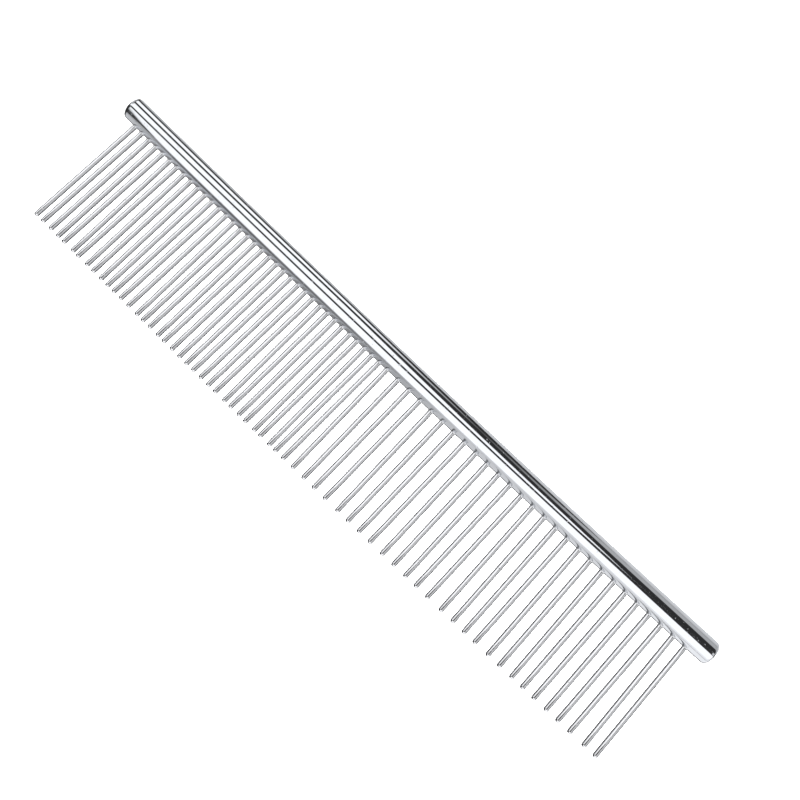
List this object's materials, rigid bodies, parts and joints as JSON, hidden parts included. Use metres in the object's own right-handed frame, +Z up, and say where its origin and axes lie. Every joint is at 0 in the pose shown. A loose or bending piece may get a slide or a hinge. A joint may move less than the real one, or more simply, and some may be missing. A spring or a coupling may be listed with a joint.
{
  "type": "grooming comb",
  "caption": "Straight pet grooming comb: a round polished steel bar with one row of long round wire teeth, half of the row closely spaced and half widely spaced.",
  "frame": {"origin": "under the middle of the comb's outline, at the height of the lowest line of the bar, with the comb lying flat", "axes": "+X along the bar from the fine end to the coarse end, -Y from the bar to the tips of the teeth, +Z up through the thickness of the bar"},
  "size_m": [0.19, 0.0394, 0.0061],
  "materials": {
    "bar_chrome": "bright chrome plate on a polished round bar, with faint lengthwise polishing lines",
    "tooth_chrome": "bright chrome plate on drawn wire, with faint drawing lines along each tooth"
  },
  "bodies": {
    "root": {"spine_bar": "bar_chrome", "fine_tooth_02": "tooth_chrome", "fine_tooth_03": "tooth_chrome", "fine_tooth_04": "tooth_chrome", "fine_tooth_05": "tooth_chrome", "fine_tooth_06": "tooth_chrome", "fine_tooth_07": "tooth_chrome", "fine_tooth_08": "tooth_chrome", "fine_tooth_09": "tooth_chrome", "fine_tooth_10": "tooth_chrome", "fine_tooth_11": "tooth_chrome", "fine_tooth_12": "tooth_chrome", "fine_tooth_13": "tooth_chrome", "fine_tooth_14": "tooth_chrome", "fine_tooth_15": "tooth_chrome", "fine_tooth_16": "tooth_chrome", "fine_tooth_17": "tooth_chrome", "fine_tooth_18": "tooth_chrome", "fine_tooth_19": "tooth_chrome", "fine_tooth_20": "tooth_chrome", "fine_tooth_21": "tooth_chrome", "fine_tooth_22": "tooth_chrome", "fine_tooth_23": "tooth_chrome", "fine_tooth_24": "tooth_chrome", "fine_tooth_25": "tooth_chrome", "fine_tooth_26": "tooth_chrome", "fine_tooth_27": "tooth_chrome", "fine_tooth_28": "tooth_chrome", "fine_tooth_29": "tooth_chrome", "fine_tooth_30": "tooth_chrome", "fine_tooth_31": "tooth_chrome", "fine_tooth_32": "tooth_chrome", "fine_tooth_33": "tooth_chrome", "fine_tooth_34": "tooth_chrome", "fine_tooth_35": "tooth_chrome", "fine_tooth_36": "tooth_chrome", "coarse_tooth_02": "tooth_chrome", "coarse_tooth_03": "tooth_chrome", "coarse_tooth_04": "tooth_chrome", "coarse_tooth_05": "tooth_chrome", "coarse_tooth_06": "tooth_chrome", "coarse_tooth_07": "tooth_chrome", "coarse_tooth_08": "tooth_chrome", "coarse_tooth_09": "tooth_chrome", "coarse_tooth_10": "tooth_chrome", "coarse_tooth_11": "tooth_chrome", "coarse_tooth_12": "tooth_chrome", "coarse_tooth_13": "tooth_chrome", "coarse_tooth_14": "tooth_chrome", "coarse_tooth_15": "tooth_chrome", "coarse_tooth_16": "tooth_chrome", "coarse_tooth_17": "tooth_chrome", "coarse_tooth_18": "tooth_chrome", "coarse_tooth_19": "tooth_chrome", "coarse_tooth_20": "tooth_chrome", "coarse_tooth_21": "tooth_chrome", "coarse_tooth_22": "tooth_chrome", "coarse_tooth_23": "tooth_chrome", "coarse_tooth_24": "tooth_chrome", "coarse_tooth_25": "tooth_chrome"}
  },
  "joints": []
}
